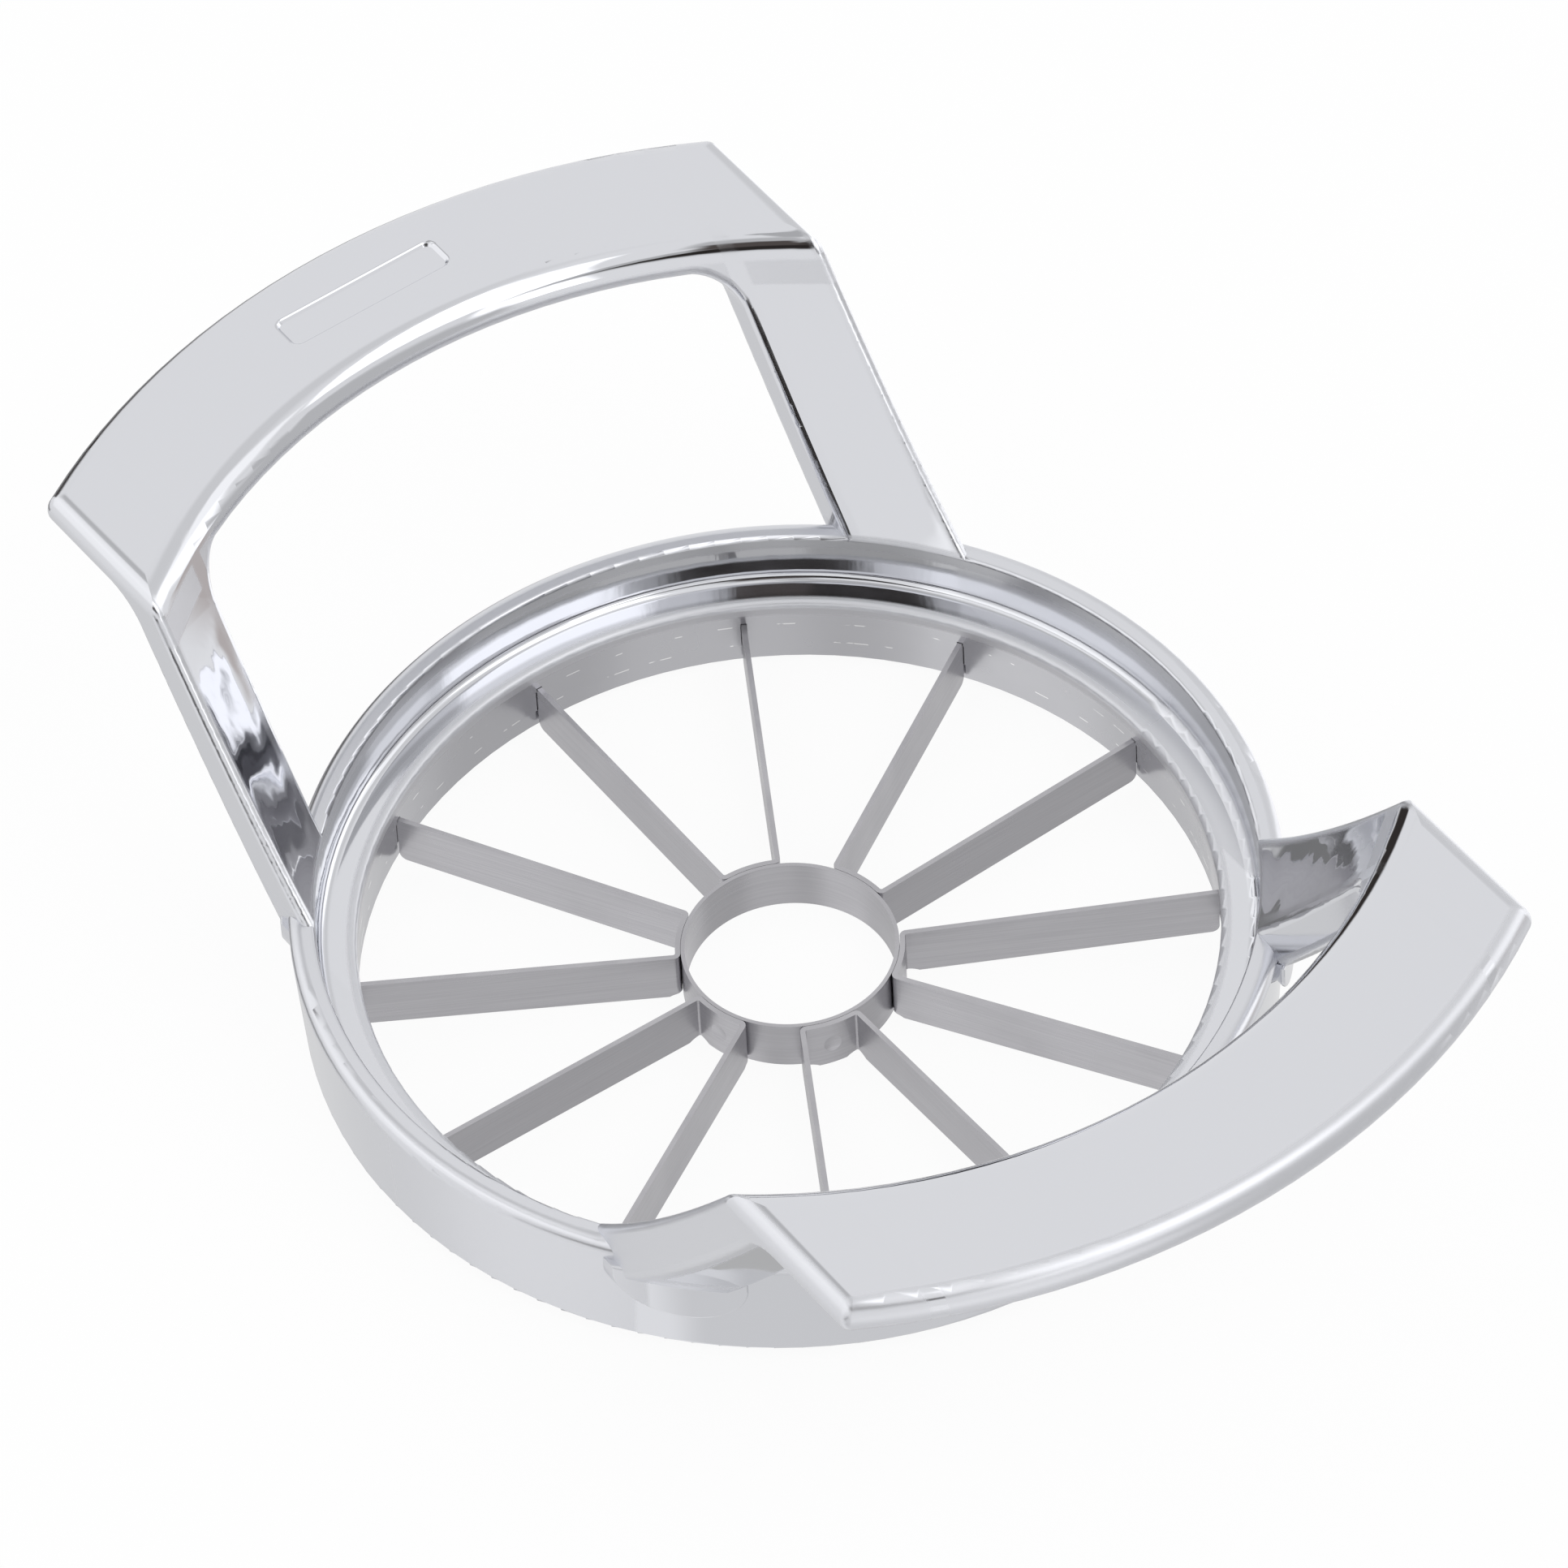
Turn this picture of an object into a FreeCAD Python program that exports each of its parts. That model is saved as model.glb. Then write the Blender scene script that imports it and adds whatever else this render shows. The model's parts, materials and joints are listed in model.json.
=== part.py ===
import FreeCAD, Part
import math
import os

# Apple slicer and corer, pushed down by hand. Millimetres.
# The ring's axis is Z. The lowest points are the blades' edges, at z = 0.
# One handle rises towards +X and its mirror image towards -X.

# Blades and core
BLADE_COUNT = 12            # radial blades, made as bent pairs
BLADE_HEIGHT = 6.4          # also the height of the core ring
BLADE_RISE = 1.15           # how much higher the blades are at the wall than at the core
BLADE_THICKNESS = 0.6
BLADE_CORNER = 1.0          # rounding of each blade's free lower corner
TAB_HEIGHT = 3.6            # upper part of each blade's end that enters the wall
TAB_REACH = 1.1             # how far a tab goes into the wall
TAB_CLEARANCE = 0.08        # air round a tab in its slot
FREE_END_GAP = 0.1          # between the wall and a blade's end below its tab
CORE_RADIUS = 12.4          # outside of the core ring
CORE_THICKNESS = 0.45
WEB_CLEARANCE = 0.04        # air between the core ring and each web
BEND_RADIUS = 0.8           # outside radius of the bends between blade and web
INNER_BEND_RADIUS = 0.25
FIRST_BLADE_ANGLE = 30.0    # degrees from +X, the first blade of the first pair
WELD_RADIUS = 1.2           # dimple of a spot weld on a web
WELD_DEPTH = 0.18
WELD_HEIGHT = 3.2
RELIEF_RADIUS = 1.6         # notch under each bend
RELIEF_HEIGHT = 0.45

# Ring
BLADE_DROP = 1.4            # how far the core ring hangs below the ring
WALL_RADIUS = 49.0          # inner wall
WALL_HEIGHT = 9.1
WALL_STEP = 0.2             # step of the wall at each of its two witness lines
WITNESS_HEIGHTS = (2.4, 5.7)  # above the ring's bottom
LIP_ROUND = 0.75
LAND_WIDTH = 4.08           # near-level seat between the wall and the step
LAND_RISE = 0.1
FOOT_ROUND = 1.2            # hollow between the seat and the step
STEP_HEIGHT = 6.3
STEP_RUN = 0.22             # how far the step leans out from its foot to the crest
CREST_ROUND = 0.45
CREST_WIDTH = 3.0           # from the crest line to the skirt
SHOULDER_ROUND = 1.5
SKIRT_TAPER = 0.9           # how far the skirt draws in towards the bottom
SKIRT_ROUND = 0.8
GROOVE_WALL = 1.8           # casting left on each side of the groove underneath
GROOVE_ROOF = 1.9           # casting left between the groove and the land
GROOVE_ROUND = 0.6

# Handles
HANDLE_HEIGHT = 30.9        # from the crest to the top of the grips
HANDLE_LEAN = 30.65         # degrees between the handles' front faces and the vertical
HANDLE_WIDTH = 93.2         # across both legs
WINDOW_WIDTH = 73.8         # between the legs
WINDOW_CORNER = 3.5
WINDOW_DROP = 0.3           # the window's top edge below the rest of the grip's underside
WINDOW_EDGE_ROUND = 1.3     # front edge of the window
LEG_DEPTH = 5.2             # square to the front face
LEG_BACK_ROUND = 1.4        # legs' back edges and the outline of the grip's underside
LEG_EDGE_ROUND = 0.8        # front outer edges of the legs
GRIP_THICKNESS = 4.0
GRIP_RADIUS = 89.0          # outer edge of both grips, about the ring's axis
GRIP_INNER_ROUND = 4.0      # between the front face and the grip's top
GRIP_EDGE_ROUND = 2.3       # outline of the grip's top
GRIP_CORNER_ROUND = 1.2     # upright corners of the grip's outer edge
LEG_ROOT_ROUND = 4.5        # between a leg's back and the grip's underside

# Half-moon pads where the legs run into the skirt
PAD_WIDTH = 10.4
PAD_PROUD = 0.85            # above the skirt's widest radius
PAD_TOP_DROP = 2.2          # below the crest
PAD_STRAIGHT = 1.3          # straight side above the pad's round bottom
PAD_EDGE_ROUND = 0.3

# Bare recess on the top of the -X grip
RECESS_LENGTH = 21.9
RECESS_WIDTH = 4.7
RECESS_CORNER = 1.2
RECESS_DEPTH = 0.45
RECESS_SLOPE = 0.4          # how far the sides lean in from the top to the bottom
RECESS_EDGE_ROUND = 0.5     # outline of the recess, in the grip's top
RECESS_SHIFT = 0.456        # from the middle of the grip's top in to the recess's middle line

UP = FreeCAD.Vector(0, 0, 1)
ORIGIN = FreeCAD.Vector(0, 0, 0)
RING_BOTTOM = BLADE_DROP
LIP_Z = RING_BOTTOM + WALL_HEIGHT
FOOT_RADIUS = WALL_RADIUS + LAND_WIDTH
FOOT_Z = LIP_Z + LAND_RISE
CREST_RADIUS = FOOT_RADIUS + STEP_RUN
CREST_Z = FOOT_Z + STEP_HEIGHT
SKIRT_RADIUS = CREST_RADIUS + CREST_WIDTH
TOP_Z = CREST_Z + HANDLE_HEIGHT
UNDER_Z = TOP_Z - GRIP_THICKNESS
WINDOW_TOP_Z = UNDER_Z - WINDOW_DROP
HALF_WIDTH = HANDLE_WIDTH / 2
HALF_WINDOW = WINDOW_WIDTH / 2
BLADE_PITCH = 360 / BLADE_COUNT
TAB_Z = BLADE_RISE + BLADE_HEIGHT - TAB_HEIGHT
WEB_RADIUS = CORE_RADIUS + WEB_CLEARANCE
LEAN = math.tan(math.radians(HANDLE_LEAN))
LEG_DROP = LEG_DEPTH / math.sin(math.radians(HANDLE_LEAN))
FRONT_TOP_RADIUS = CREST_RADIUS + HANDLE_HEIGHT * LEAN
RECESS_RADIUS = (FRONT_TOP_RADIUS + GRIP_RADIUS) / 2 - RECESS_SHIFT


def polar(radius, degrees, z=0.0):
    turn = math.radians(degrees)
    return FreeCAD.Vector(radius * math.cos(turn), radius * math.sin(turn), z)


def rounded_wire(corners, place):
    """A closed wire through (a, b, rounding) corners; place turns (a, b) into a point."""
    points = [place(a, b) for a, b, rounding in corners]
    edges = []
    starts = []
    ends = []
    middles = []
    for index, (a, b, rounding) in enumerate(corners):
        here = points[index]
        back = (points[index - 1] - here).normalize()
        ahead = (points[(index + 1) % len(points)] - here).normalize()
        half = back.getAngle(ahead) / 2
        reach = rounding / math.tan(half)
        bisector = (back + ahead).normalize()
        starts.append(here + back * reach)
        ends.append(here + ahead * reach)
        middles.append(here + bisector * (rounding / math.sin(half) - rounding))
    for index, (a, b, rounding) in enumerate(corners):
        if rounding > 0:
            edges.append(Part.Arc(starts[index], middles[index], ends[index]).toShape())
        following = starts[(index + 1) % len(corners)]
        if ends[index].distanceToPoint(following) > 1e-6:
            edges.append(Part.makeLine(ends[index], following))
    return Part.Wire(edges)


def section_point(radius, z):
    return FreeCAD.Vector(radius, 0, z)


def side_point(y, z):
    return FreeCAD.Vector(0, y, z)


def flat_point(x, y):
    return FreeCAD.Vector(x, y, 0)


def ring():
    low_witness, high_witness = WITNESS_HEIGHTS
    skirt_foot = SKIRT_RADIUS - SKIRT_TAPER
    groove_inside = WALL_RADIUS + GROOVE_WALL
    groove_outside = skirt_foot - GROOVE_WALL
    groove_top = LIP_Z - GROOVE_ROOF
    corners = [
        (WALL_RADIUS + WALL_STEP, RING_BOTTOM, 0),
        (WALL_RADIUS + WALL_STEP, RING_BOTTOM + low_witness, 0),
        (WALL_RADIUS, RING_BOTTOM + low_witness, 0),
        (WALL_RADIUS, RING_BOTTOM + high_witness, 0),
        (WALL_RADIUS - WALL_STEP, RING_BOTTOM + high_witness, 0),
        (WALL_RADIUS - WALL_STEP, LIP_Z, LIP_ROUND),
        (FOOT_RADIUS, FOOT_Z, FOOT_ROUND),
        (CREST_RADIUS, CREST_Z, CREST_ROUND),
        (SKIRT_RADIUS, CREST_Z, SHOULDER_ROUND),
        (skirt_foot, RING_BOTTOM, SKIRT_ROUND),
        (groove_outside, RING_BOTTOM, 0),
        (groove_outside, groove_top, GROOVE_ROUND),
        (groove_inside, groove_top, GROOVE_ROUND),
        (groove_inside, RING_BOTTOM, 0),
    ]
    face = Part.Face(rounded_wire(corners, section_point))
    return face.revolve(ORIGIN, UP, 360)


def handle_section():
    """The handle's section through the ring's axis, from the ring's flesh to the grip."""
    root_radius = CREST_RADIUS + CREST_WIDTH - SHOULDER_ROUND
    root_z = CREST_Z - LEG_DROP + (root_radius - CREST_RADIUS) / LEAN
    back_top_radius = CREST_RADIUS + (UNDER_Z - CREST_Z + LEG_DROP) * LEAN
    corners = [
        (CREST_RADIUS, CREST_Z, 0),
        (CREST_RADIUS, root_z, 0),
        (root_radius, root_z, 0),
        (back_top_radius, UNDER_Z, LEG_ROOT_ROUND),
        (GRIP_RADIUS, UNDER_Z, 0),
        (GRIP_RADIUS, TOP_Z, 0),
        (FRONT_TOP_RADIUS, TOP_Z, GRIP_INNER_ROUND),
    ]
    return Part.Face(rounded_wire(corners, section_point))


def window():
    """The opening between the legs, from the ring up to just under the grip."""
    corners = [
        (-HALF_WINDOW, 0, 0),
        (HALF_WINDOW, 0, 0),
        (HALF_WINDOW, WINDOW_TOP_Z, WINDOW_CORNER),
        (-HALF_WINDOW, WINDOW_TOP_Z, WINDOW_CORNER),
    ]
    face = Part.Face(rounded_wire(corners, side_point))
    return face.extrude(FreeCAD.Vector(GRIP_RADIUS, 0, 0))


def middle(edge):
    return edge.valueAt((edge.FirstParameter + edge.LastParameter) / 2)


def axis_distance(point):
    return math.hypot(point.x, point.y)


def near(a, b, tolerance=1e-3):
    return abs(a - b) < tolerance


def slope_distance(point):
    """How far out of the handles' front cone a point lies, level with it."""
    return axis_distance(point) - CREST_RADIUS - (point.z - CREST_Z) * LEAN


def is_rim_corner(point, edge):
    upright = abs(edge.Vertexes[0].Z - edge.Vertexes[-1].Z) > GRIP_THICKNESS / 2
    return upright and near(abs(point.y), HALF_WIDTH) and near(axis_distance(point), GRIP_RADIUS)


def is_under_outline(point, edge):
    """The outer back edge of each leg and the outline of the grip's underside."""
    behind = point.z > CREST_Z and slope_distance(point) > LEG_DROP * LEAN * 0.8
    on_side = behind and near(abs(point.y), HALF_WIDTH) and point.z < UNDER_Z + 0.01
    on_rim = near(point.z, UNDER_Z) and axis_distance(point) > GRIP_RADIUS - 2 * GRIP_EDGE_ROUND
    return on_side or on_rim


def is_window_back(point, edge):
    behind = point.z > CREST_Z and slope_distance(point) > LEG_DROP * LEAN * 0.8
    return behind and abs(point.y) < HALF_WINDOW + 0.01 and point.z < UNDER_Z - 0.01


def is_top_outline(point, edge):
    on_end = near(abs(point.y), HALF_WIDTH)
    on_rim = axis_distance(point) > GRIP_RADIUS - 2 * GRIP_EDGE_ROUND
    return near(point.z, TOP_Z) and (on_end or on_rim)


def is_window_front(point, edge):
    in_front = abs(slope_distance(point)) < 0.05 and CREST_Z + 0.5 < point.z < UNDER_Z + 0.01
    return in_front and abs(point.y) < HALF_WINDOW + 0.01


def round_edges(shape, radius, wanted):
    edges = [edge for edge in shape.Edges if wanted(middle(edge), edge)]
    return shape.makeFillet(radius, edges)


def slab():
    """All that lies between the outer sides of the +X handle's legs."""
    return Part.makeBox(GRIP_RADIUS, HANDLE_WIDTH, TOP_Z, FreeCAD.Vector(0, -HALF_WIDTH, 0))


def is_envelope_top(point, edge):
    return near(point.z, TOP_Z) and point.x > CREST_RADIUS / 2


def grip_envelope():
    """The slab inside the grip's rim with the grip's wider rounding along its top."""
    shape = Part.makeCylinder(GRIP_RADIUS, TOP_Z).common(slab())
    shape = round_edges(shape, GRIP_CORNER_ROUND, is_rim_corner)
    return round_edges(shape, GRIP_EDGE_ROUND, is_envelope_top)


def handle():
    """The +X handle: two legs and the grip, still a solid of its own."""
    half_turn = math.degrees(math.asin(HALF_WIDTH / CREST_RADIUS)) + 5
    face = handle_section()
    face.rotate(ORIGIN, UP, -half_turn)
    body = face.revolve(ORIGIN, UP, 2 * half_turn)
    body = body.common(slab()).cut(window()).removeSplitter()
    body = round_edges(body, GRIP_CORNER_ROUND, is_rim_corner)
    body = round_edges(body, LEG_BACK_ROUND, is_under_outline)
    body = round_edges(body, LEG_BACK_ROUND, is_window_back)
    body = round_edges(body, LEG_EDGE_ROUND, is_top_outline)
    body = round_edges(body, WINDOW_EDGE_ROUND, is_window_front)
    return body.common(grip_envelope())


def is_pad_outline(point, edge):
    return near(axis_distance(point), SKIRT_RADIUS + PAD_PROUD, 0.02)


def pad():
    """The half-moon under the +X, +Y leg, round at the bottom and following the skirt."""
    radius = PAD_WIDTH / 2
    middle_y = HALF_WINDOW + radius
    top_z = CREST_Z - PAD_TOP_DROP
    turn_z = top_z - PAD_STRAIGHT
    reach = SKIRT_RADIUS + PAD_PROUD
    inner = SKIRT_RADIUS - SKIRT_TAPER - GROOVE_WALL / 2
    along_x = FreeCAD.Vector(1, 0, 0)
    tongue = Part.makeCylinder(radius, reach, FreeCAD.Vector(0, middle_y, turn_z), along_x)
    straight = Part.makeBox(reach, PAD_WIDTH, radius, FreeCAD.Vector(0, HALF_WINDOW, turn_z))
    roof = Part.makeBox(reach, 2 * PAD_WIDTH, PAD_WIDTH, FreeCAD.Vector(0, HALF_WINDOW - radius, top_z))
    tongue = tongue.fuse(straight).cut(roof)
    shell = Part.makeCylinder(reach, top_z).cut(Part.makeCylinder(inner, top_z))
    return round_edges(tongue.common(shell).removeSplitter(), PAD_EDGE_ROUND, is_pad_outline)


def recess_outline(inset, z):
    half_x = RECESS_WIDTH / 2 - inset
    half_y = RECESS_LENGTH / 2 - inset
    corner = RECESS_CORNER - inset
    corners = [
        (-RECESS_RADIUS - half_x, -half_y, corner),
        (-RECESS_RADIUS + half_x, -half_y, corner),
        (-RECESS_RADIUS + half_x, half_y, corner),
        (-RECESS_RADIUS - half_x, half_y, corner),
    ]
    wire = rounded_wire(corners, flat_point)
    wire.translate(UP * z)
    return wire


def recess():
    """The bare recess in the -X grip's top, where a name plate would be."""
    outlines = [recess_outline(RECESS_SLOPE, TOP_Z - RECESS_DEPTH), recess_outline(0, TOP_Z)]
    return Part.makeLoft(outlines, True, True)


def is_recess_outline(point, edge):
    across = abs(point.x + RECESS_RADIUS)
    inside = across < RECESS_WIDTH / 2 + 0.01 and abs(point.y) < RECESS_LENGTH / 2 + 0.01
    return near(point.z, TOP_Z) and inside


def slots():
    """Twelve slots in the inner wall, one round each blade's tab."""
    width = BLADE_THICKNESS + 2 * TAB_CLEARANCE
    height = TAB_HEIGHT + 2 * TAB_CLEARANCE
    start = WALL_RADIUS - 2 * WALL_STEP - TAB_CLEARANCE
    reach = WALL_RADIUS + TAB_REACH + TAB_CLEARANCE - start
    found = []
    for index in range(BLADE_COUNT):
        corner = FreeCAD.Vector(start, -width / 2, TAB_Z - TAB_CLEARANCE)
        slot = Part.makeBox(reach, width, height, corner)
        slot.rotate(ORIGIN, UP, FIRST_BLADE_ANGLE + index * BLADE_PITCH)
        found.append(slot)
    return found


def frame():
    """Ring, handles and pads, which are one casting."""
    right = handle()
    left = right.copy()
    left.rotate(ORIGIN, UP, 180)
    pads = []
    first_pad = pad()
    second_pad = first_pad.mirror(ORIGIN, FreeCAD.Vector(0, 1, 0))
    for half_turns in range(2):
        for shape in (first_pad, second_pad):
            turned = shape.copy()
            turned.rotate(ORIGIN, UP, 180 * half_turns)
            pads.append(turned)
    casting = ring().fuse([right, left] + pads)
    casting = casting.cut(slots() + [recess()]).removeSplitter()
    return round_edges(casting, RECESS_EDGE_ROUND, is_recess_outline)


def core_ring():
    outside = Part.makeCylinder(CORE_RADIUS, BLADE_HEIGHT)
    return outside.cut(Part.makeCylinder(CORE_RADIUS - CORE_THICKNESS, BLADE_HEIGHT))


def wedge(offset):
    """A prism between two blades of a pair, its sides moved out by offset."""
    half_pitch = math.radians(BLADE_PITCH / 2)
    apex_x = -offset / math.sin(half_pitch)
    length = 2 * WALL_RADIUS
    apex = FreeCAD.Vector(apex_x, 0, 0)
    left = FreeCAD.Vector(apex_x + length * math.cos(half_pitch), length * math.sin(half_pitch), 0)
    right = FreeCAD.Vector(left.x, -left.y, 0)
    face = Part.Face(Part.makePolygon([apex, right, left, apex]))
    return face.extrude(UP * (BLADE_RISE + BLADE_HEIGHT))


def blade_pair():
    """Two blades and the web between them, bent from one strip, about the +X direction."""
    free_end = WALL_RADIUS - FREE_END_GAP
    tab_end = WALL_RADIUS + TAB_REACH
    web_outside = WEB_RADIUS + BLADE_THICKNESS
    rise_start = web_outside + INNER_BEND_RADIUS
    corners = [
        (WEB_RADIUS, 0, 0),
        (rise_start, 0, 0),
        (free_end, BLADE_RISE, BLADE_CORNER),
        (free_end, TAB_Z, 0),
        (tab_end, TAB_Z, 0),
        (tab_end, BLADE_RISE + BLADE_HEIGHT, 0),
        (WALL_RADIUS, BLADE_RISE + BLADE_HEIGHT, 0),
        (rise_start, BLADE_HEIGHT, 0),
        (WEB_RADIUS, BLADE_HEIGHT, 0),
    ]
    envelope = Part.Face(rounded_wire(corners, section_point)).revolve(ORIGIN, UP, 360)
    between = wedge(-BLADE_THICKNESS / 2)
    between = between.cut(Part.makeCylinder(web_outside, BLADE_RISE + BLADE_HEIGHT))
    strip = envelope.common(wedge(BLADE_THICKNESS / 2)).cut(between)
    strip = round_edges(strip, BEND_RADIUS, is_outer_bend)
    strip = round_edges(strip, INNER_BEND_RADIUS, is_inner_bend)
    ball_radius = (WELD_RADIUS**2 + WELD_DEPTH**2) / (2 * WELD_DEPTH)
    ball_centre = FreeCAD.Vector(web_outside - WELD_DEPTH + ball_radius, 0, WELD_HEIGHT)
    return strip.cut([Part.makeSphere(ball_radius, ball_centre)] + reliefs())


def reliefs():
    """Round notches in the lower edge under the two bends, square to the bends' bisectors."""
    found = []
    length = 4 * BEND_RADIUS
    for side in (-1, 1):
        angle = side * BLADE_PITCH / 2
        centre = polar(WEB_RADIUS + BLADE_THICKNESS / 2, angle, RELIEF_HEIGHT - RELIEF_RADIUS)
        outward = polar(1, angle - side * 45)
        start = centre - outward * (length / 2)
        found.append(Part.makeCylinder(RELIEF_RADIUS, length, start, outward))
    return found


def is_upright(edge):
    return near(edge.Length, BLADE_HEIGHT)


def is_outer_bend(point, edge):
    return is_upright(edge) and near(axis_distance(point), WEB_RADIUS)


def is_inner_bend(point, edge):
    return is_upright(edge) and near(axis_distance(point), WEB_RADIUS + BLADE_THICKNESS)


def build():
    os.makedirs("parts", exist_ok=True)
    nodes = {"frame": frame(), "core_ring": core_ring()}
    strip = blade_pair()
    for index in range(BLADE_COUNT // 2):
        turned = strip.copy()
        turned.rotate(ORIGIN, UP, FIRST_BLADE_ANGLE + (2 * index + 0.5) * BLADE_PITCH)
        nodes["blade_pair_" + str(index + 1)] = turned
    for name, shape in nodes.items():
        shape.exportStep("parts/" + name + ".step")


build()
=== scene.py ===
import json
import math
from collections import namedtuple
from functools import partial

import bpy
from mathutils import Matrix, Vector

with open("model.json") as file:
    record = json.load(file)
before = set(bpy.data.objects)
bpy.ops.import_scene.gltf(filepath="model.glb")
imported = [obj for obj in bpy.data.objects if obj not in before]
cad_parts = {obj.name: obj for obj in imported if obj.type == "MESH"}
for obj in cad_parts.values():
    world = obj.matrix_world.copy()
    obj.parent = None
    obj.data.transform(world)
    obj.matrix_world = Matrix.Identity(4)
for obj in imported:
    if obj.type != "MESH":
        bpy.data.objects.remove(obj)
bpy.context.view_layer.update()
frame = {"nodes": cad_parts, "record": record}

# Apple slicer: a chromed casting, a core ring and six bent strips of satin steel. Metres.
# The ring's axis is Z, the handles rise towards +X and -X, and the object stands on z = 0.

# The camera, set so that the ring's circles and the handles' corners fall where they should
CAMERA_PLACE = (0.78643, -0.52501, 1.07625)
CAMERA_AZIMUTH = 56.25      # degrees, the way it looks, from +Y towards -X
CAMERA_ELEVATION = 47.80
CAMERA_ROLL = -3.35
SENSOR = 36.0
LENS = 289.9
CLIP = (0.01, 20.0)

# The floor: white paper that glows for the camera alone, so that it keeps a little shadow
FLOOR_SIZE = 6.0
PAPER = (0.94, 0.94, 0.945, 1)
GLOW_SHARE = 0.93
WHITE = (1, 1, 1, 1)

# The studio as a metal surface sees it. Each card has its middle's azimuth and elevation, half
# its width and height, how far its azimuth shifts for each degree of elevation and the width of
# its soft edge, all in degrees, then its brightness and its warmth. A later card covers an
# earlier one.
TENT = (0.96, 0.96, 0.96, 1)
WARM_TINT = (1.0, 0.86, 0.80)
Card = namedtuple(
    "Card", "name azimuth elevation half_width half_height lean softness level warmth"
)
CARDS = [Card(*row) for row in (
    ("table", 0, -90, 180, 44, 0, 16, 0.78, 0),
    ("table's bright side", -98, -64, 26, 20, 0, 12, 0.98, 0),
    ("table's dark side", 30, -66, 14, 5, 0, 8, 0.66, 0),
    ("table's dark end", 150, -68, 22, 6, 0, 6, 0.50, 0),
    ("front curtain", 40, -18, 26, 30, 0, 10, 0.62, 0),
    ("left wall", -118, 30, 46, 20, 0, 8, 1.18, 0),
    ("top of the left wall", -104, 42, 30, 6, 0, 4, 1.40, 0),
    ("lamp above the left wall", -120, 61, 42, 4, 0, 4, 1.18, 0),
    ("rail of the tent", -122, 53, 44, 2, 0, 2, 0.66, 0),
    ("gap in the left wall", -82, 13, 5, 7, 0, 5, 0.85, 0),
    ("dim ceiling", -116, 84, 70, 6, 0, 6, 0.54, 0),
    ("dim corner above", -176, 72, 18, 8, 0, 8, 0.58, 0),
    ("top of the tent", 94, 54, 12, 10, 0, 24, 0.80, 0),
    ("side wall", 120, 16, 8, 24, 0, 14, 0.80, 0),
    ("dim end of the tent", -178, 54, 6, 5, 0, 18, 0.62, 0),
    ("key softbox", 27, 55, 26, 16, 0.4, 5, 1.85, 0),
    ("foot of the key softbox", 6, 33, 10, 10, 0.3, 4, 1.85, 0),
    ("wall under the key softbox", 36, 30, 22, 6, 0, 4, 0.92, 0),
    ("side softbox", 80, 20, 14, 9, 0, 6, 1.55, 0),
    ("upper side softbox", 68, 37, 10, 7, 0, 6, 1.25, 0),
    ("foot of the side softbox", 94, 0, 9, 10, -0.3, 4, 1.40, 0),
    ("warm strip", 71.5, -5, 4, 5, 0, 3, 0.60, 0.6),
    ("white sweep", 112, -26, 18, 12, -0.6, 8, 1.32, 0),
    ("grey gap", 28, 12, 20, 9, 0, 6, 0.62, 0),
    ("bright table edge", -8, -14, 17, 12, 0, 6, 1.10, 0),
    ("dark corner", -160, -27, 20, 5, 0, 4, 0.20, 0),
    ("edge of the table", -58, -34, 12, 10, 0, 6, 0.60, 0),
    ("grey under the camera", -48, -6, 8, 6, 0, 6, 0.72, 0),
    ("stand", -70, -2, 9, 10, 1.2, 3, 0.025, 1),
    ("camera's dark cloth", -38, 47, 26, 9, -1.6, 7, 0.55, 0),
    ("cloth over the camera", -34, 68, 12, 5, 0, 6, 0.60, 0),
    ("camera", -44, 47, 20, 7.5, -1.7, 5, 0.03, 1),
    ("top of the camera", -34, 57, 8, 5, 0, 5, 0.10, 1),
    ("dark curtain", 176, -2, 6, 14, 0.5, 5, 0.04, 1),
    ("foot of the dark curtain", 169, -28, 13, 5, 0.4, 5, 0.22, 0),
)]

# The handles' front faces lie on a cone about the ring's axis, through the crest line
LEAN = math.tan(math.radians(30.65))
CREST_RADIUS = 0.0533
CREST_HEIGHT = 0.0169
WITNESS_LINES = (0.00715, 0.00385)      # heights of the two lines on the wall

# The zones of the casting's finish and of the shade and glints painted on it. Each limit names a
# measure, the side of it on which the zone lies, and where the zone's soft edge starts and ends.
WALL = (
    ("radius", "below", 0.04935, 0.04955),
    ("height", "below", 0.0096, 0.0100),
)
FUNNEL = (
    ("radius", "below", 0.0533, 0.0538),
    ("height", "below", 0.0164, 0.0168),
)
STEP = FUNNEL + (("height", "above", 0.0112, 0.0118),)
UPPER_STEP = STEP + (("height", "above", 0.0134, 0.0142),)
WITNESS = WALL + (("off a line", "below", 0.00008, 0.00016),)
LIP = (
    ("radius", "below", 0.0497, 0.0502),
    ("height", "above", 0.0086, 0.0092),
)
CREST = (
    ("radius", "above", 0.0528, 0.0532),
    ("height", "above", 0.0150, 0.0154),
    ("height", "below", 0.0171, 0.0176),
)
LEG_FRONT = (
    ("off the front", "below", 0.0002, 0.0008),
    ("aside", "above", 0.0376, 0.0396),
    ("aside", "below", 0.0442, 0.0460),
    ("height", "above", 0.0172, 0.0200),
    ("height", "below", 0.0380, 0.0415),
)
WINDOW_SIDE = (
    ("aside", "above", 0.0364, 0.0367),
    ("aside", "below", 0.0380, 0.0386),
    ("height", "above", 0.0172, 0.0176),
)
WINDOW_TOP = (
    ("off the front", "below", 0.0012, 0.0018),
    ("height", "above", 0.0427, 0.0431),
    ("height", "below", 0.0452, 0.0458),
)
HANDLE_SIDE = (("aside", "above", 0.0447, 0.0453),)
GRIP_OUTSIDE = (("radius", "above", 0.0864, 0.0872),)
PLUS_X_HANDLE = (("x", "above", -0.01, 0.01),)

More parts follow.
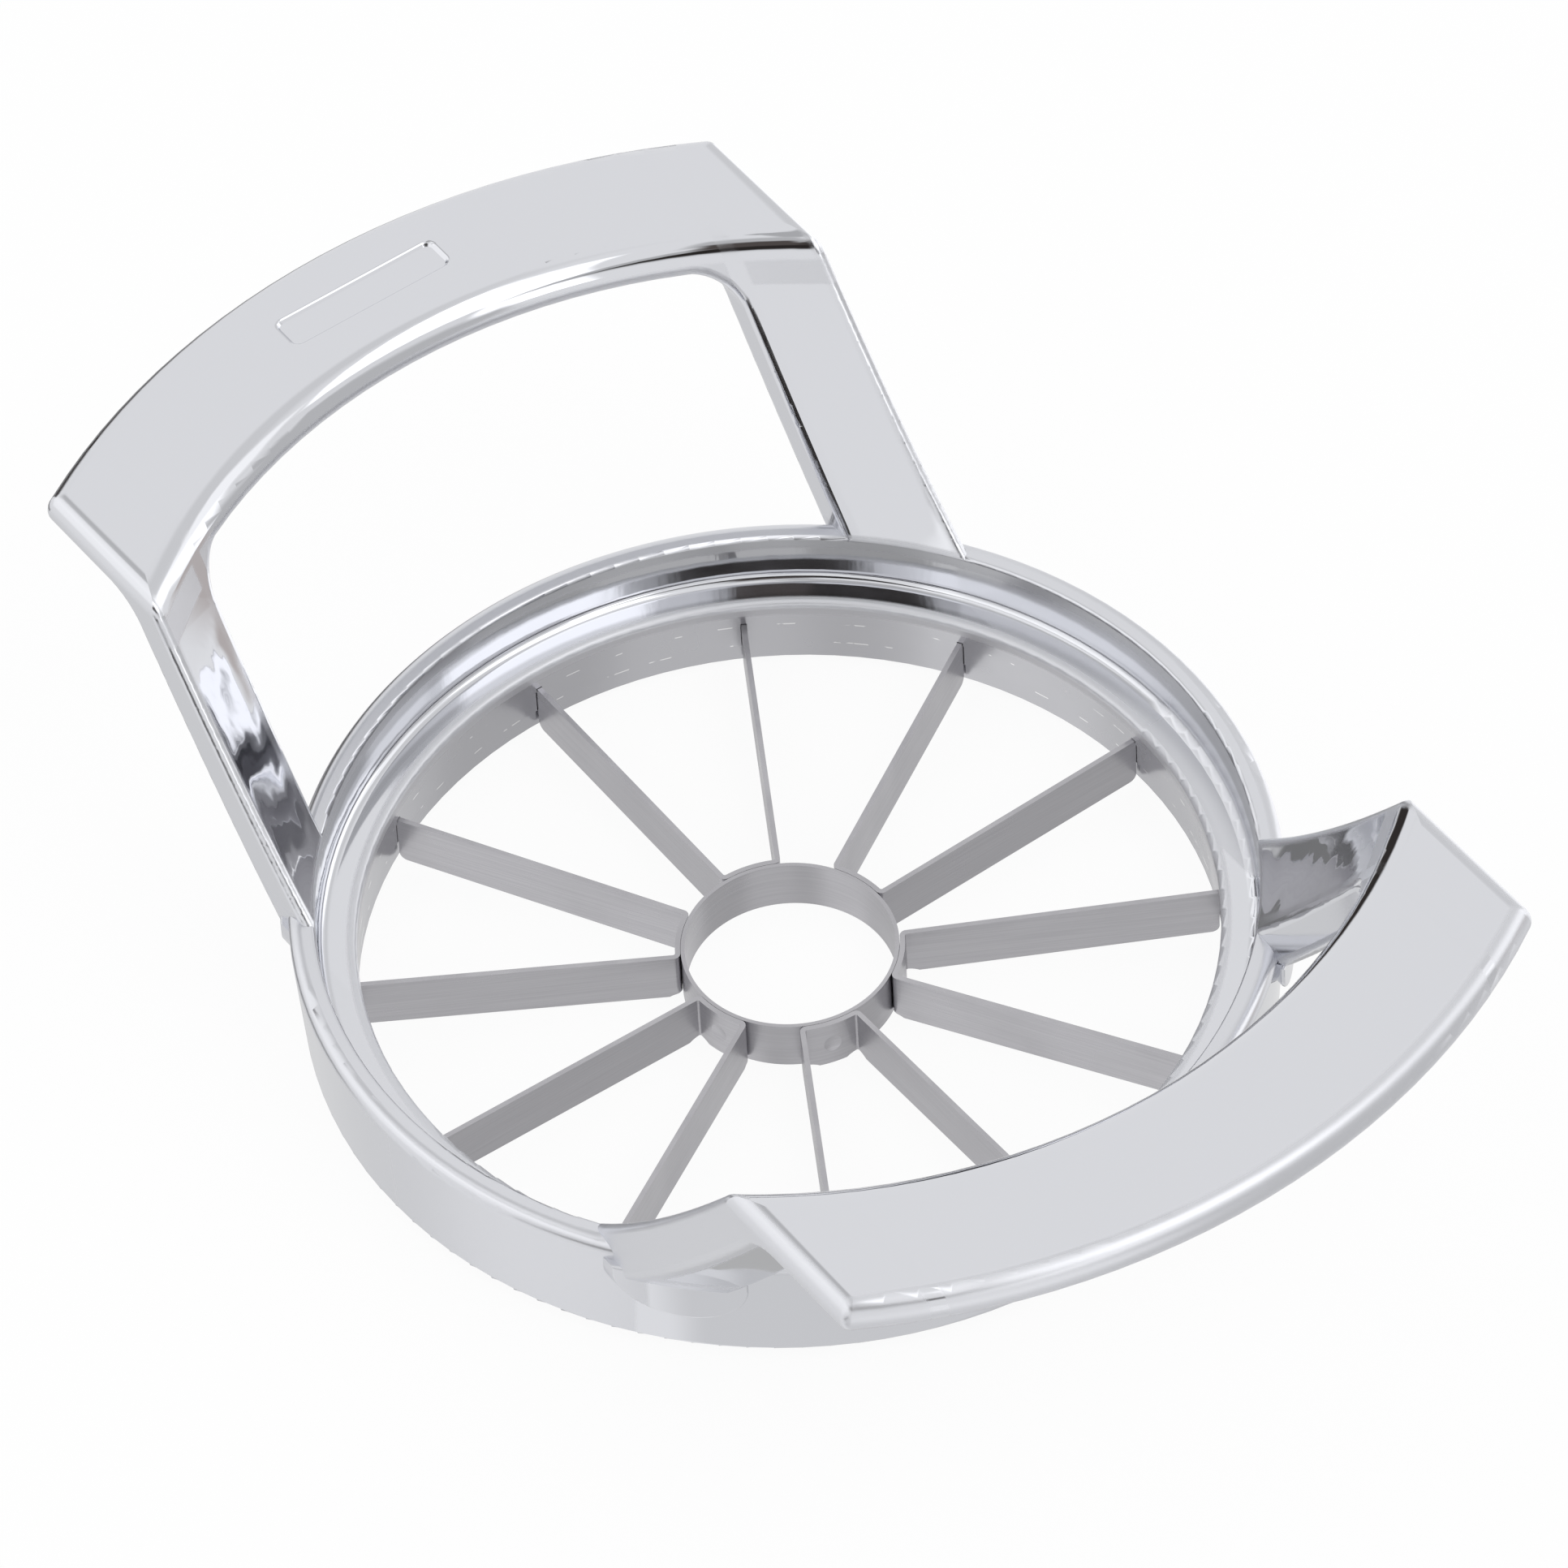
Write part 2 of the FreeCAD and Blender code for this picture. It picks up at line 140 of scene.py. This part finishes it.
# The chrome. A pair of roughnesses is for thin and for thick haze in the plating.
CHROME = (0.700, 0.708, 0.742, 1)
# Painted shade: the wall's darker colour stands in for the shadowed table that it mirrors through
# the ring
WALL_PAINTED_SHADE = (0.54, 0.54, 0.565, 1)
# Painted shade: the upper step's darker colour copies a dark band of reflection
UPPER_STEP_PAINTED_SHADE = (0.47, 0.475, 0.495, 1)
# Painted glints: a lighter colour in dashes along the witness lines
PAINTED_GLINT = (0.85, 0.85, 0.86, 1)
HAZE = (0.3, 0.7)
POLISH = (0.022, 0.045)
FUNNEL_ROUGHNESS = (0.06, 0.10)
WALL_ROUGHNESS = (0.20, 0.28)
MINUS_X_RIM_ROUGHNESS = 0.20
PLUS_X_RIM_ROUGHNESS = 0.32
WINDOW_TOP_ROUGHNESS = 0.35
CREST_ROUGHNESS = 0.28
WINDOW_SIDE_ROUGHNESS = 0.12
LIP_ROUGHNESS = 0.35
RIM_METAL = 0.85            # of the +X handle
LIP_METAL = 0.45
DASHES = (0.58, 0.61)       # levels of the noise that breaks the painted glints on the witness lines into dashes

# Scales of the noises and depths of the bumps
HAZE_SCALE = 140.0
DASH_SCALE = 420.0
WAVE_SCALE = 60.0
WAVE_DEPTH = 0.00002
STREAK_SCALE = 700.0
STREAK_STRETCH = (1.0, 1.0, 0.2)
STREAK_DEPTH = 0.000015
DENT_SCALE = 75.0
DENT_DEPTH = 0.0003
DENT_GRAIN_SCALE = 260.0
DENT_GRAIN_STRETCH = (1.0, 1.0, 0.35)
DENT_GRAIN_SHARE = 0.12
DENT_LEVEL = 0.56

# The blades' satin steel. Its grain is drawn out level, along the strip.
BLADE_DARK = (0.452, 0.447, 0.470, 1)
BLADE_LIGHT = (0.500, 0.495, 0.518, 1)
BLADE_ROUGHNESS = (0.26, 0.36)
BLADE_CLOUD_SCALE = 90.0
BLADE_GRAIN_SCALES = (60.0, 60.0, 5200.0)
BLADE_GRAIN_DEPTH = 0.000004


class Graph:
    """A node tree with one call for a node, its settings and what goes into it."""

    def __init__(self, tree):
        self.tree = tree
        tree.nodes.clear()

    def node(self, kind, inputs=None, **settings):
        node = self.tree.nodes.new(kind)
        for key, value in settings.items():
            setattr(node, key, value)
        for key, value in (inputs or {}).items():
            if isinstance(value, bpy.types.NodeSocket):
                self.tree.links.new(value, node.inputs[key])
            else:
                node.inputs[key].default_value = value
        return node

    def math(self, operation, *values):
        inputs = dict(enumerate(values))
        return self.node("ShaderNodeMath", inputs, operation=operation).outputs[0]

    def product(self, *factors):
        result = factors[0]
        for factor in factors[1:]:
            result = self.math("MULTIPLY", result, factor)
        return result

    def distance(self, a, b):
        return self.math("ABSOLUTE", self.math("SUBTRACT", a, b))

    def ramp(self, value, start, end, low=0.0, high=1.0):
        """Smooth step: low before start, high after end."""
        inputs = {"Value": value, "From Min": start, "From Max": end, "To Min": low, "To Max": high}
        node = self.node("ShaderNodeMapRange", inputs, interpolation_type="SMOOTHSTEP")
        return node.outputs["Result"]

    def zone(self, measures, limits):
        """1 inside all the limits, 0 outside one of them."""
        sides = {"above": (0.0, 1.0), "below": (1.0, 0.0)}
        return self.product(
            *(self.ramp(measures[name], start, end, *sides[side])
              for name, side, start, end in limits)
        )

    def mix(self, factor, a, b):
        """a where factor is 0 and b where it is 1, as numbers."""
        return self.node("ShaderNodeMix", {0: factor, 2: a, 3: b}, data_type="FLOAT").outputs[0]

    def mix_colour(self, factor, a, b):
        return self.node("ShaderNodeMix", {0: factor, 6: a, 7: b}, data_type="RGBA").outputs[2]

    def noise(self, vector, scale, detail=2.0, roughness=0.5):
        inputs = {"Vector": vector, "Scale": scale, "Detail": detail, "Roughness": roughness}
        return self.node("ShaderNodeTexNoise", inputs).outputs["Fac"]

    def scaled(self, vector, factors):
        node = self.node("ShaderNodeVectorMath", {0: vector, 1: factors}, operation="MULTIPLY")
        return node.outputs["Vector"]

    def bump(self, height, distance, normal=None):
        inputs = {"Height": height, "Distance": distance, "Strength": 1.0}
        if normal is not None:
            inputs["Normal"] = normal
        return self.node("ShaderNodeBump", inputs).outputs["Normal"]


def card_mask(graph, azimuth, elevation, card):
    above = graph.math("SUBTRACT", elevation, card.elevation)
    aside = graph.math("SUBTRACT", azimuth, card.azimuth)
    if card.lean:
        aside = graph.math("SUBTRACT", aside, graph.math("MULTIPLY", above, card.lean))
    across = graph.math("ABSOLUTE", graph.math("WRAP", aside, 180.0, -180.0))
    along = graph.math("ABSOLUTE", above)
    return graph.product(
        graph.ramp(across, card.half_width, card.half_width + card.softness, 1.0, 0.0),
        graph.ramp(along, card.half_height, card.half_height + card.softness, 1.0, 0.0),
    )


def studio():
    """A pale tent round the object, with soft boxes and dark gaps for the metal to reflect."""
    world = bpy.data.worlds.new("studio")
    bpy.context.scene.world = world
    world.use_nodes = True
    graph = Graph(world.node_tree)
    direction = graph.node("ShaderNodeTexCoord").outputs["Generated"]
    parts = graph.node("ShaderNodeSeparateXYZ", {0: direction}).outputs
    azimuth = graph.math("DEGREES", graph.math("ARCTAN2", parts["Y"], parts["X"]))
    elevation = graph.math("DEGREES", graph.math("ARCSINE", parts["Z"]))
    light = TENT
    for card in CARDS:
        colour = [card.level * (1 - card.warmth * (1 - tint)) for tint in WARM_TINT] + [1]
        light = graph.mix_colour(card_mask(graph, azimuth, elevation, card), light, colour)
    seen = graph.node("ShaderNodeLightPath").outputs["Is Camera Ray"]
    light = graph.mix_colour(seen, light, WHITE)
    background = graph.node("ShaderNodeBackground", {"Color": light, "Strength": 1.0})
    graph.node("ShaderNodeOutputWorld", {"Surface": background.outputs[0]})


def floor():
    """A white floor that the metal doesn't mirror: there it shows the studio's table."""
    half = FLOOR_SIZE / 2
    corners = [(-half, -half, 0), (half, -half, 0), (half, half, 0), (-half, half, 0)]
    mesh = bpy.data.meshes.new("floor")
    mesh.from_pydata(corners, [], [(0, 1, 2, 3)])
    ground = bpy.data.objects.new("floor", mesh)
    bpy.context.scene.collection.objects.link(ground)
    material = bpy.data.materials.new("white floor")
    material.use_nodes = True
    graph = Graph(material.node_tree)
    paper = graph.node("ShaderNodeBsdfDiffuse", {"Color": PAPER})
    glow = graph.node("ShaderNodeEmission", {"Color": WHITE, "Strength": 1.0})
    clear = graph.node("ShaderNodeBsdfTransparent")
    path = graph.node("ShaderNodeLightPath").outputs
    seen = graph.math("MULTIPLY", path["Is Camera Ray"], GLOW_SHARE)
    sheet = graph.node("ShaderNodeMixShader", {0: seen, 1: paper.outputs[0], 2: glow.outputs[0]})
    mirrored = graph.math("MAXIMUM", path["Is Glossy Ray"], path["Is Transmission Ray"])
    inputs = {0: mirrored, 1: sheet.outputs[0], 2: clear.outputs[0]}
    surface = graph.node("ShaderNodeMixShader", inputs)
    graph.node("ShaderNodeOutputMaterial", {"Surface": surface.outputs[0]})
    mesh.materials.append(material)


def camera():
    data = bpy.data.cameras.new("camera")
    data.sensor_width = SENSOR
    data.lens = LENS
    data.clip_start, data.clip_end = CLIP
    eye = bpy.data.objects.new("camera", data)
    bpy.context.scene.collection.objects.link(eye)
    turn = Matrix.Rotation(math.radians(CAMERA_AZIMUTH), 4, "Z")
    tilt = Matrix.Rotation(math.radians(90 - CAMERA_ELEVATION), 4, "X")
    roll = Matrix.Rotation(math.radians(CAMERA_ROLL), 4, "Z")
    eye.matrix_world = Matrix.Translation(Vector(CAMERA_PLACE)) @ turn @ tilt @ roll
    bpy.context.scene.camera = eye


def metal(name):
    """A new metal's material, its graph and the place on the object."""
    material = bpy.data.materials.new(name)
    material.use_nodes = True
    graph = Graph(material.node_tree)
    return material, graph, graph.node("ShaderNodeTexCoord").outputs["Object"]


def shade(graph, colour, metallic, roughness, normal):
    inputs = {
        "Base Color": colour,
        "Metallic": metallic,
        "Roughness": roughness,
        "Normal": normal,
    }
    shader = graph.node("ShaderNodeBsdfPrincipled", inputs)
    graph.node("ShaderNodeOutputMaterial", {"Surface": shader.outputs[0]})


def measures_of(graph, place):
    """What the zones are measured by: lengths from the ring's axis, the ground and so on."""
    parts = graph.node("ShaderNodeSeparateXYZ", {0: place}).outputs
    squares = [graph.math("MULTIPLY", parts[axis], parts[axis]) for axis in ("X", "Y")]
    radius = graph.math("SQRT", graph.math("ADD", *squares))
    cone = graph.math("MULTIPLY_ADD", parts["Z"], LEAN, CREST_RADIUS - CREST_HEIGHT * LEAN)
    lines = [graph.distance(parts["Z"], line) for line in WITNESS_LINES]
    return {
        "x": parts["X"],
        "aside": graph.math("ABSOLUTE", parts["Y"]),
        "height": parts["Z"],
        "radius": radius,
        "off the front": graph.distance(radius, cone),
        "off a line": graph.math("MINIMUM", *lines),
    }


def chrome():
    """Chrome over a casting: a mirror on the handles, less even in the ring and rougher on its
    wall, with painted shade darkening the wall and the upper step and painted glints along the
    witness lines.
    """
    material, graph, place = metal("chrome_casting")
    zone = partial(graph.zone, measures_of(graph, place))
    wall = zone(WALL)
    lip = zone(LIP)
    rim = graph.math("MAXIMUM", zone(HANDLE_SIDE), zone(GRIP_OUTSIDE))
    plus_x = zone(PLUS_X_HANDLE)

    haze = graph.noise(place, HAZE_SCALE, 3.0)
    roughness = graph.ramp(haze, *HAZE, *POLISH)
    # Later ones lie over earlier ones
    for mask, value in (
        (zone(FUNNEL), graph.ramp(haze, *HAZE, *FUNNEL_ROUGHNESS)),
        (rim, graph.mix(plus_x, MINUS_X_RIM_ROUGHNESS, PLUS_X_RIM_ROUGHNESS)),
        (zone(WINDOW_TOP), WINDOW_TOP_ROUGHNESS),
        (zone(CREST), CREST_ROUGHNESS),
        (zone(WINDOW_SIDE), WINDOW_SIDE_ROUGHNESS),
        (wall, graph.ramp(haze, *HAZE, *WALL_ROUGHNESS)),
        (lip, LIP_ROUGHNESS),
    ):
        roughness = graph.mix(mask, roughness, value)
    metallic = graph.mix(graph.product(rim, plus_x), 1.0, RIM_METAL)
    metallic = graph.mix(lip, metallic, LIP_METAL)

    dashes = graph.ramp(graph.noise(place, DASH_SCALE), *DASHES)
    # Painted shade darkens the wall's colour
    colour = graph.mix_colour(wall, CHROME, WALL_PAINTED_SHADE)
    # Painted shade darkens the upper step's colour
    colour = graph.mix_colour(zone(UPPER_STEP), colour, UPPER_STEP_PAINTED_SHADE)
    # Painted glints lighten dashes along the witness lines
    colour = graph.mix_colour(graph.product(zone(WITNESS), dashes), colour, PAINTED_GLINT)

    waves = graph.bump(graph.noise(place, WAVE_SCALE, 1.0), WAVE_DEPTH)
    streaks = graph.noise(graph.scaled(place, STREAK_STRETCH), STREAK_SCALE)
    ripple = graph.product(graph.math("SUBTRACT", streaks, 0.5), zone(STEP))
    ragged = graph.bump(ripple, STREAK_DEPTH, waves)
    dents = graph.math("SUBTRACT", graph.noise(place, DENT_SCALE), DENT_LEVEL)
    grain = graph.noise(graph.scaled(place, DENT_GRAIN_STRETCH), DENT_GRAIN_SCALE)
    relief = graph.math("MULTIPLY_ADD", grain, DENT_GRAIN_SHARE, dents)
    uneven = graph.bump(graph.product(relief, zone(LEG_FRONT)), DENT_DEPTH, ragged)
    shade(graph, colour, metallic, roughness, uneven)
    return material


def blade_steel():
    """Rolled stainless strip: satin, with the rolling grain level along it."""
    material, graph, place = metal("blade_steel")
    grain = graph.noise(graph.scaled(place, BLADE_GRAIN_SCALES), 1.0, 3.0, 0.6)
    cloud = graph.noise(place, BLADE_CLOUD_SCALE, 3.0)
    roughness = graph.ramp(cloud, *HAZE, *BLADE_ROUGHNESS)
    colour = graph.mix_colour(graph.ramp(grain, *HAZE), BLADE_DARK, BLADE_LIGHT)
    shade(graph, colour, 1.0, roughness, graph.bump(grain, BLADE_GRAIN_DEPTH))
    return material


def dress(name, material):
    slots = frame["nodes"][name].data.materials
    slots.clear()
    slots.append(material)


bpy.context.scene.view_settings.view_transform = "Standard"
studio()
floor()
camera()

finishes = {"chrome_casting": chrome(), "blade_steel": blade_steel()}
for subpart in frame["record"]["subparts"]:
    dress(subpart["node"], finishes[subpart["material_slot"]])
